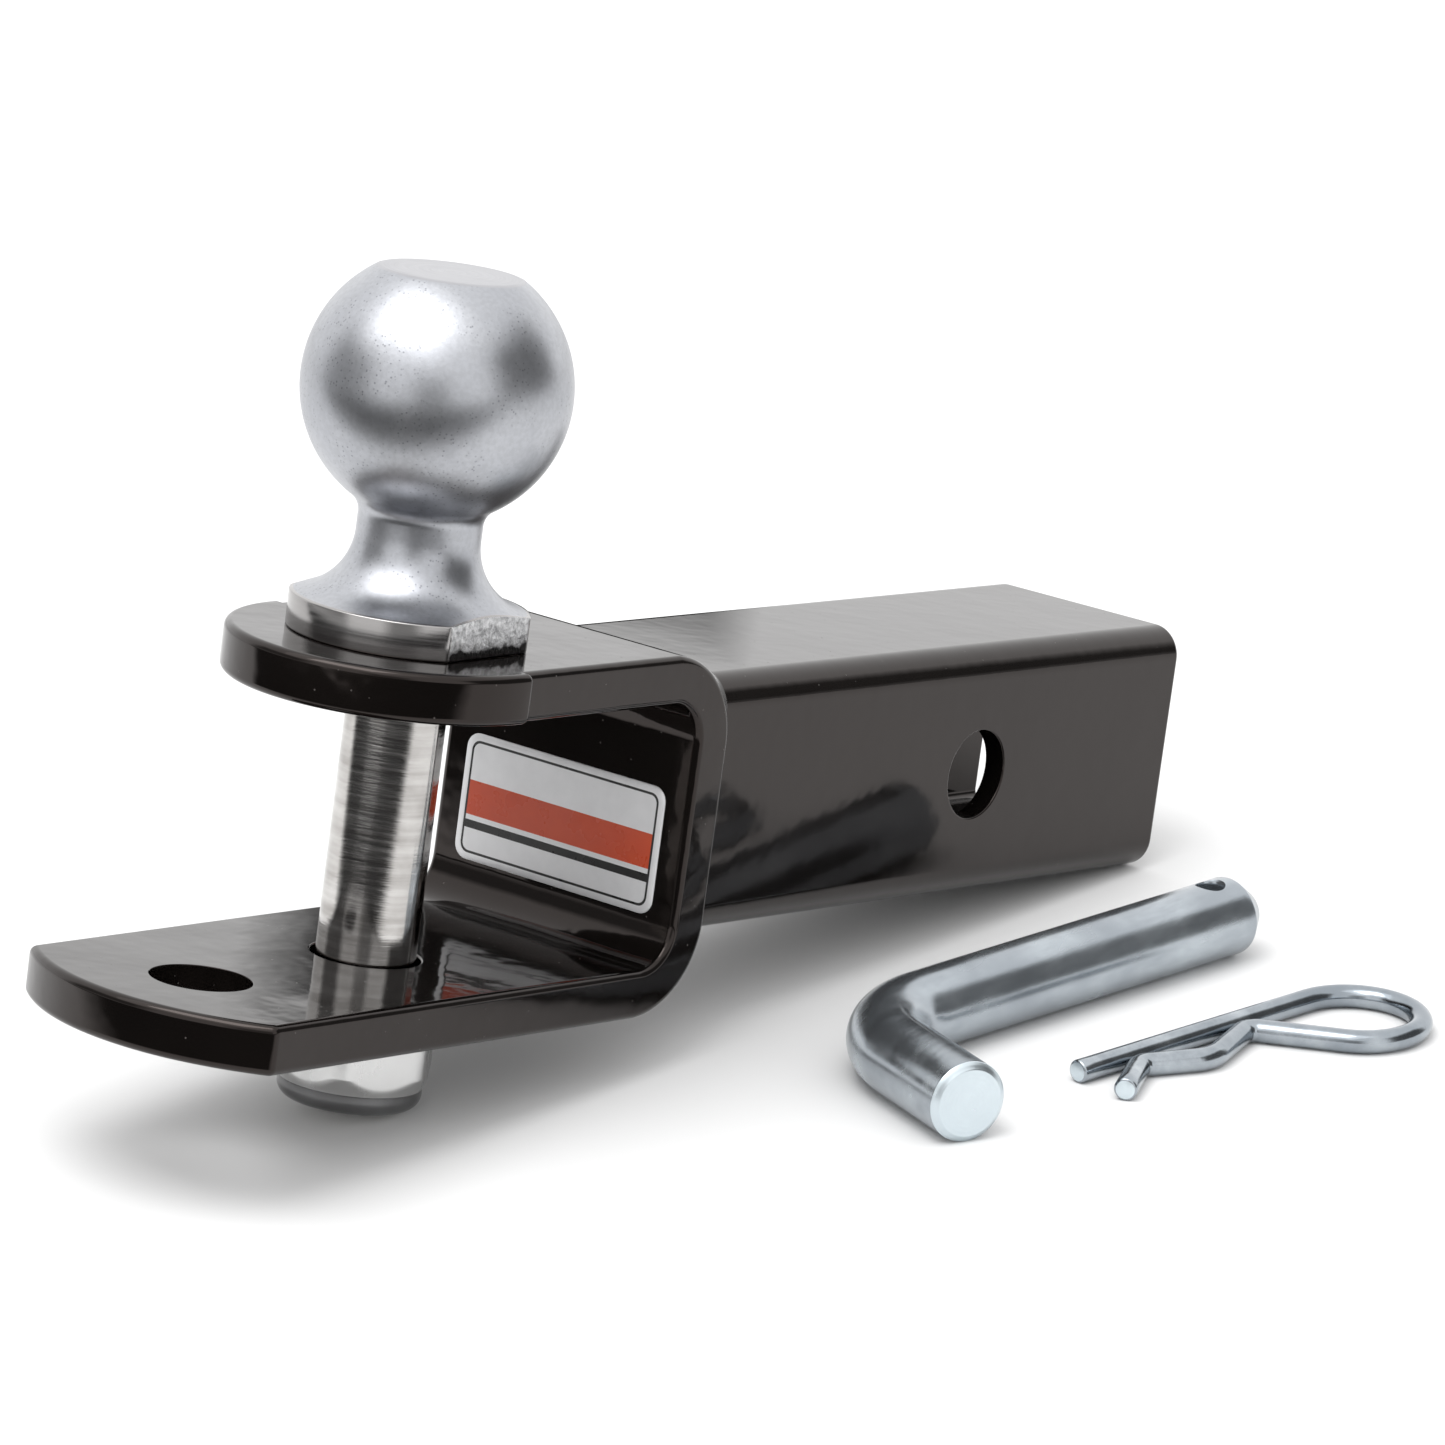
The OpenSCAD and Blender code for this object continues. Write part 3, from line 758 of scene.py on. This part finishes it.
def nylon_ring():
    bm = bmesh.new()
    lo, hi = 0.5, INSERT_H - 0.06
    corners = [(BORE_R, hi - 1, 0), (BORE_R, lo, 0.5), (INSERT_R, lo, 0.3), (INSERT_R, hi, 0.1),
               (BORE_R, hi, 0.1), (BORE_R, hi - 1, 0)]
    lathe(bm, [tuple(p) for p in rounded(corners, 4)])
    place = HITCH @ moved(0, SHANK_Y, BASE_Z - NUT_H)
    return build("nylon_ring", finished(bm, "nylon_ring"), "insert", ["nylon_insert"],
                 [nylon], place)


def nylon_look():
    m = Nodes("nylon_natural")
    m.color(m.mix(m.span(m.noise(200, 3), 0.3, 0.7), (0.62, 0.62, 0.58), (0.72, 0.72, 0.68)))
    m.roughness(m.span(m.noise(500, 2), 0.3, 0.7, 0.42, 0.58))
    m.set(Subsurface_Weight=0.15, Subsurface_Scale=0.002)
    m.normal(m.bump(m.noise(700, 2), 0.15, 0.0001))
    return m.material


nut_zinc = zinc("nut_zinc_plate", (0.62, 0.62, 0.615), (0.74, 0.74, 0.735), (1, 1, 0.5), (0.22, 0.36))
# The collar's zinc is a darker copy of the nut's zinc: painted shade for the nut's underside, which faces the
# floor.
collar_shade_zinc = zinc("nut_collar_painted_shade", (0.17, 0.17, 0.172), (0.28, 0.282, 0.285), (1, 1, 0.5), (0.16, 0.26))
nylon = nylon_look()
lock_nut()
nylon_ring()

# ---------------------------------------------------------------- bent bars: the pin and the clip

PIN_TURN = math.pi - PIN_ANGLE
PIN_PLACE = moved(PIN_X, PIN_Y, GROUND_Z + PIN_R + REST_GAP) @ turned(PIN_HEADING)


def centre_line(steps, start, heading, spacing):
    """Points and headings along straight runs and bends in a level plane, spaced by (length, degrees)."""
    x, y, a, out = *start, heading, []
    for run, radius, turn in steps:
        count = max(1, round(run / spacing[0]))
        for k in range(count):
            out.append((x + math.cos(a) * run * k / count, y + math.sin(a) * run * k / count, a))
        x, y = x + math.cos(a) * run, y + math.sin(a) * run
        if radius:
            side, bend = math.copysign(1, turn), math.radians(abs(turn))
            cx, cy = x - side * radius * math.sin(a), y + side * radius * math.cos(a)
            count = max(3, round(math.degrees(bend) / spacing[1]))
            for k in range(count):
                b = a + side * bend * k / count
                out.append((cx + side * radius * math.sin(b), cy - side * radius * math.cos(b), b))
            a += side * bend
            x, y = cx + side * radius * math.sin(a), cy - side * radius * math.cos(a)
    out.append((x, y, a))
    return out


def bar(bm, line, radii, n, materials=None):
    """Sweeps a circle along a level centre line. radii gives a radius for each point."""
    rings = [ring(bm, [(x - math.sin(a) * r * c, y + math.cos(a) * r * c, r * s) for c, s in circle(n)])
             for (x, y, a), r in zip(line, radii)]
    for k, (p, q) in enumerate(zip(rings, rings[1:])):
        bridge(bm, p, q, material=materials[k] if materials else 0)
    return rings


def eased_end(line, radii, profile, at_start):
    """Adds end rings given as (distance past the end, radius)."""
    x, y, a = line[0] if at_start else line[-1]
    sign = -1 if at_start else 1
    extra = [((x + sign * d * math.cos(a), y + sign * d * math.sin(a), a), r) for d, r in profile]
    if at_start:
        extra.reverse()
        return [p for p, _ in extra] + line, [r for _, r in extra] + radii
    return line + [p for p, _ in extra], radii + [r for _, r in extra]


def clip_hole_cutter():
    """A round bar, flared at both ends, that drills the pin's cross hole and eases its rims."""
    bm = bmesh.new()
    flare = [(CLIP_HOLE_R + 0.75, PIN_R + 0.6), (CLIP_HOLE_R + 0.35, PIN_R - 0.15),
             (CLIP_HOLE_R + 0.08, PIN_R - 0.55), (CLIP_HOLE_R, PIN_R - 1.1)]
    rings = lathe(bm, flare + [(r, -z) for r, z in reversed(flare)], 64)
    fill(bm, rings[0])
    fill(bm, rings[-1])
    mesh = finished(bm, "clip_hole_cutter")
    mesh.transform(moved(CLIP_HOLE_AT, 0, 0))
    return mesh


def drilled(mesh, cutter_mesh):
    """A new mesh: the first with the second taken out of it."""
    body = bpy.data.objects.new("uncut", mesh)
    cutter = bpy.data.objects.new("cutter", cutter_mesh)
    for o in (body, cutter):
        bpy.context.scene.collection.objects.link(o)
    hole = body.modifiers.new("hole", "BOOLEAN")
    hole.object, hole.operation, hole.solver = cutter, "DIFFERENCE", "EXACT"
    bpy.context.view_layer.update()
    result = bpy.data.meshes.new_from_object(body.evaluated_get(bpy.context.evaluated_depsgraph_get()))
    for o in (body, cutter):
        bpy.data.objects.remove(o)
    return result


def hitch_pin():
    bm = bmesh.new()
    set_back = PIN_BEND_R * math.tan(PIN_TURN / 2)
    start = ((PIN_BEVEL - PIN_SHORT) * math.cos(PIN_TURN), (PIN_BEVEL - PIN_SHORT) * math.sin(PIN_TURN))
    steps = [(PIN_SHORT - PIN_BEVEL - set_back, PIN_BEND_R, -math.degrees(PIN_TURN)),
             (PIN_LONG - set_back, 0, 0)]
    line = centre_line(steps, start, PIN_TURN, (1.6, 3.0))
    radii = [PIN_R] * len(line)
    bevel = [tuple(p) for p in rounded([(0, PIN_R, 0), (0.25, PIN_R, 0.4),
                                        (PIN_BEVEL, PIN_R - PIN_BEVEL, 0.5), (PIN_BEVEL, 4.0, 0)], 4)][1:]
    line, radii = eased_end(line, radii, bevel, True)
    tip = [tuple(p) for p in rounded([(0, PIN_R, 0), (0.35, PIN_R - 0.1, 0.5),
                                      (PIN_TIP_L - 0.25, PIN_TIP_R, 0.9), (PIN_TIP_L - 0.01, 2.0, 0)], 5)][1:]
    line, radii = eased_end(line, radii, tip, False)
    face_end = len(bevel) - 2
    rings = bar(bm, line, radii, PIN_POINTS, [1 if k < face_end else 0 for k in range(len(line))])
    fill(bm, rings[0], material=1)
    fill(bm, rings[-1])
    mesh = drilled(finished(bm, "uncut_pin"), clip_hole_cutter())
    mesh.name = "hitch_pin_bar"
    piece = build("hitch_pin_bar", mesh, "pin", ["hitch_pin"], [pin_zinc, pin_end], PIN_PLACE)
    piece.data.set_sharp_from_angle(angle=math.radians(38))
    return piece


def spring_clip():
    bm = bmesh.new()
    line = centre_line(CLIP_STEPS, (0, 0), 0.0, (3.0, 5.0))
    radii = [WIRE_R] * len(line)
    # the ends are sheared and lightly crushed, inside the wire's own length
    inset = 0.5
    for at in (0, -1):
        x, y, a = line[at]
        way = inset if at == 0 else -inset
        line[at] = (x + way * math.cos(a), y + way * math.sin(a), a)
    end = [(0.3, WIRE_R - 0.12), (inset - 0.02, WIRE_R - 0.45)]
    line, radii = eased_end(line, radii, end, True)
    line, radii = eased_end(line, radii, end, False)
    rings = bar(bm, line, radii, WIRE_POINTS)
    for r in (rings[0], rings[-1]):
        fill(bm, r, material=1)
    place = moved(CLIP_X, CLIP_Y, GROUND_Z + WIRE_R + REST_GAP) @ turned(CLIP_HEADING)
    return build("spring_clip_wire", finished(bm, "spring_clip_wire"), "clip", ["pin_clip"],
                 [clip_zinc, cut_end], place)


pin_face = PIN_PLACE @ Vector((-PIN_SHORT * math.cos(PIN_TURN), -PIN_SHORT * math.sin(PIN_TURN), 0)) * MM
pin_zinc = zinc("pin_zinc_plate", (0.31, 0.34, 0.37), (0.55, 0.60, 0.635), (1.6, 0.4, 1.6), (0.14, 0.30),
                scale=110, dents=0.13, haze=0.1)
pin_end = zinc("faced_end_zinc", (0.60, 0.67, 0.71), (0.70, 0.78, 0.815), (1, 1, 1), (0.26, 0.38),
               scale=200, dents=0.1, rings_at=pin_face)
clip_zinc = zinc("clip_zinc_plate", (0.26, 0.29, 0.32), (0.54, 0.58, 0.61), (1, 1, 1), (0.12, 0.24))
cut_end = zinc("cut_end_zinc", (0.60, 0.67, 0.71), (0.70, 0.78, 0.815), (1, 1, 1), (0.30, 0.45), scale=200)
hitch_pin()
spring_clip()

# ---------------------------------------------------------------- plain label

def label_look():
    """The label's pale foil."""
    m = Nodes("label_foil")
    m.color(m.mix(m.span(m.noise(300, 2), 0.3, 0.7), (0.66, 0.66, 0.67), (0.70, 0.70, 0.71)))
    m.set(Metallic=0.25)
    m.roughness(m.span(m.noise(150, 3), 0.3, 0.7, 0.28, 0.4))
    m.normal(m.bump(m.noise(120, 2), 0.1, 0.0003))
    return m.material


def ink_look(name, low, high):
    """Printed ink on the foil."""
    m = Nodes(name)
    m.color(m.mix(m.span(m.noise(260, 3), 0.3, 0.7), low, high))
    m.roughness(m.span(m.noise(150, 3), 0.3, 0.7, 0.22, 0.36))
    m.normal(m.bump(m.noise(120, 2), 0.1, 0.0003))
    return m.material


def label():
    """A plain label: pale field, dark border line, orange band, thin dark band. It carries no writing."""
    bm = bmesh.new()
    w, h = LABEL_W / 2, LABEL_H / 2

    def loop(inset, y):
        r = LABEL_R - inset * 0.75
        return ring(bm, rounded_loop(w - inset, h - inset, r, y, LABEL_CORNER_STEPS))

    rim = [loop(0, 0), loop(0, -LABEL_T + 0.1), loop(0.12, -LABEL_T)]
    skin(bm, rim)
    line_out, line_in = loop(BORDER_OUT, -LABEL_T), loop(BORDER_IN, -LABEL_T)
    bridge(bm, rim[-1], line_out)
    bridge(bm, line_out, line_in, material=1)
    fill(bm, line_in)
    for (low, high), ink in ((ORANGE_BAND, 2), (DARK_BAND, 1)):
        for z in (low, high):
            cut(bm, (0, 0, z), (0, 0, 1))
        for f in bm.faces:
            c = f.calc_center_median()
            inside = abs(c.x) < w - BORDER_IN and abs(c.z) < h - BORDER_IN and c.y < -LABEL_T + 0.01
            if inside and low < c.z < high:
                f.material_index = ink
    inks = [ink_look("label_dark_ink", (0.012, 0.012, 0.012), (0.02, 0.02, 0.02)),
            ink_look("label_orange_ink", (0.46, 0.055, 0.018), (0.49, 0.062, 0.019))]
    place = HITCH @ moved(0, WALL_Y, TONGUE_Z + LABEL_RISE)
    return build("label_sheet", finished(bm, "label_sheet"), "hitch", ["plain_label"],
                 [label_look(), *inks], place)


label()

# ---------------------------------------------------------------- floor, lights and camera

def floor():
    bm = bmesh.new()
    bmesh.ops.create_grid(bm, x_segments=1, y_segments=1, size=FLOOR_HALF)
    mesh = bpy.data.meshes.new("floor")
    bm.to_mesh(mesh)
    bm.free()
    mesh.transform(Matrix.Scale(MM, 4) @ moved(0, 0, GROUND_Z - FLOOR_GAP))
    m = Nodes("pale_floor")
    m.color(m.mix(m.span(m.noise(5, 2), 0.3, 0.7), (0.72, 0.72, 0.72), (0.74, 0.74, 0.74)))
    m.set(Roughness=0.9, Specular_IOR_Level=0.2)
    mesh.materials.append(m.material)
    obj = bpy.data.objects.new("floor", mesh)
    bpy.context.scene.collection.objects.link(obj)


floor()

# From here on, lengths are in metres.
AZIMUTH, ELEVATION, ROLL = math.radians(39.05), math.radians(18.126), math.radians(2.076)
EYE = Vector((0.89773, -1.15633, 0.48284))
LENS, SENSOR = 190.256, 36.0
AIM = Vector((0, -0.08, 0.02))                   # the middle of the hitch, which the lights point at
WORLD = 1.3


def look_from(azimuth, elevation, roll=0.0):
    """Orientation of a camera or light that looks at the part from an azimuth and elevation."""
    back = Vector((math.sin(azimuth) * math.cos(elevation), -math.cos(azimuth) * math.cos(elevation),
                   math.sin(elevation)))
    return back, (-back).to_track_quat("-Z", "Y").to_matrix().to_4x4() @ Matrix.Rotation(roll, 4, "Z")


def camera():
    data = bpy.data.cameras.new("camera")
    data.lens, data.sensor_width = LENS, SENSOR
    data.clip_start, data.clip_end = 0.05, 50
    obj = bpy.data.objects.new("camera", data)
    _, turn = look_from(AZIMUTH, ELEVATION, ROLL)
    obj.matrix_world = Matrix.Translation(EYE) @ turn
    bpy.context.scene.collection.objects.link(obj)
    bpy.context.scene.camera = obj


def area_light(name, azimuth, elevation, distance, size, power):
    data = bpy.data.lights.new(name, "AREA")
    data.shape = "RECTANGLE"
    data.size, data.size_y = size
    data.energy = power
    obj = bpy.data.objects.new(name, data)
    back, turn = look_from(math.radians(azimuth), math.radians(elevation))
    obj.matrix_world = Matrix.Translation(AIM + back * distance) @ turn
    bpy.context.scene.collection.objects.link(obj)


def world():
    w = bpy.data.worlds.new("studio")
    w.use_nodes = True
    background = w.node_tree.nodes["Background"]
    background.inputs["Color"].default_value = (1.0, 1.0, 1.0, 1)
    background.inputs["Strength"].default_value = WORLD
    bpy.context.scene.world = w


def upright(azimuth, distance, height):
    """Where a card stands: square to the line from the hitch at this azimuth, its middle at this height."""
    a = math.radians(azimuth)
    spot = moved(math.sin(a) * distance, AIM.y - math.cos(a) * distance, height)
    return spot @ turned(a) @ Matrix.Rotation(math.pi / 2, 4, "X")


def flag(name, place, half_w, half_h, fade, shade):
    """A dark studio card that shows only in reflections, with edges that fade out over a distance."""
    bm = bmesh.new()
    bmesh.ops.create_grid(bm, x_segments=1, y_segments=1, size=1.0)
    mesh = bpy.data.meshes.new(name)
    bm.to_mesh(mesh)
    bm.free()
    mesh.transform(Matrix.Diagonal((half_w, half_h, 1, 1)))
    m = Nodes(name)
    split = m.node("ShaderNodeSeparateXYZ")
    m.link(m.place, split.inputs[0])
    gaps = [m.math("SUBTRACT", half, m.math("ABSOLUTE", split.outputs[i], 0.0))
            for i, half in ((0, half_w), (1, half_h))]
    cover = m.span(m.math("MINIMUM", *gaps), 0.0, fade)
    clear = m.node("ShaderNodeBsdfTransparent")
    dark = m.node("ShaderNodeEmission", Color=(shade, shade, shade, 1))
    mixed = m.node("ShaderNodeMixShader")
    m.link(cover, mixed.inputs[0])
    m.link(clear.outputs[0], mixed.inputs[1])
    m.link(dark.outputs[0], mixed.inputs[2])
    m.tree.nodes.remove(m.shader)
    m.link(mixed.outputs[0], m.out.inputs["Surface"])
    mesh.materials.append(m.material)
    obj = bpy.data.objects.new(name, mesh)
    obj.matrix_world = place
    bpy.context.scene.collection.objects.link(obj)
    obj.visible_camera = obj.visible_diffuse = obj.visible_shadow = obj.visible_transmission = False


camera()
world()
area_light("softbox_main", azimuth=-4, elevation=66, distance=1.4, size=(1.0, 0.7), power=8.5)
area_light("softbox_halo", azimuth=-4, elevation=66, distance=1.42, size=(1.9, 1.4), power=6.0)
flag("card_front_floor", moved(0, 0, GROUND_Z * MM + 0.0004) @ turned(math.radians(15)) @ moved(0, -1.77, 0),
     half_w=3.0, half_h=1.5, fade=0.10, shade=0.05)
flag("card_front", upright(36, 2.3, 0.45), half_w=0.85, half_h=0.85, fade=0.5, shade=0.45)
flag("card_left", upright(-42, 2.0, 0.65), half_w=1.1, half_h=0.85, fade=0.5, shade=0.28)
flag("card_right", upright(125, 2.0, 0.8), half_w=1.5, half_h=1.15, fade=0.5, shade=0.14)
flag("card_low_behind", upright(217, 0.24, 0.0) @ moved(0.03, 0, 0), half_w=0.055, half_h=0.055, fade=0.02,
     shade=0.02)
bpy.context.scene.view_settings.view_transform = "Standard"
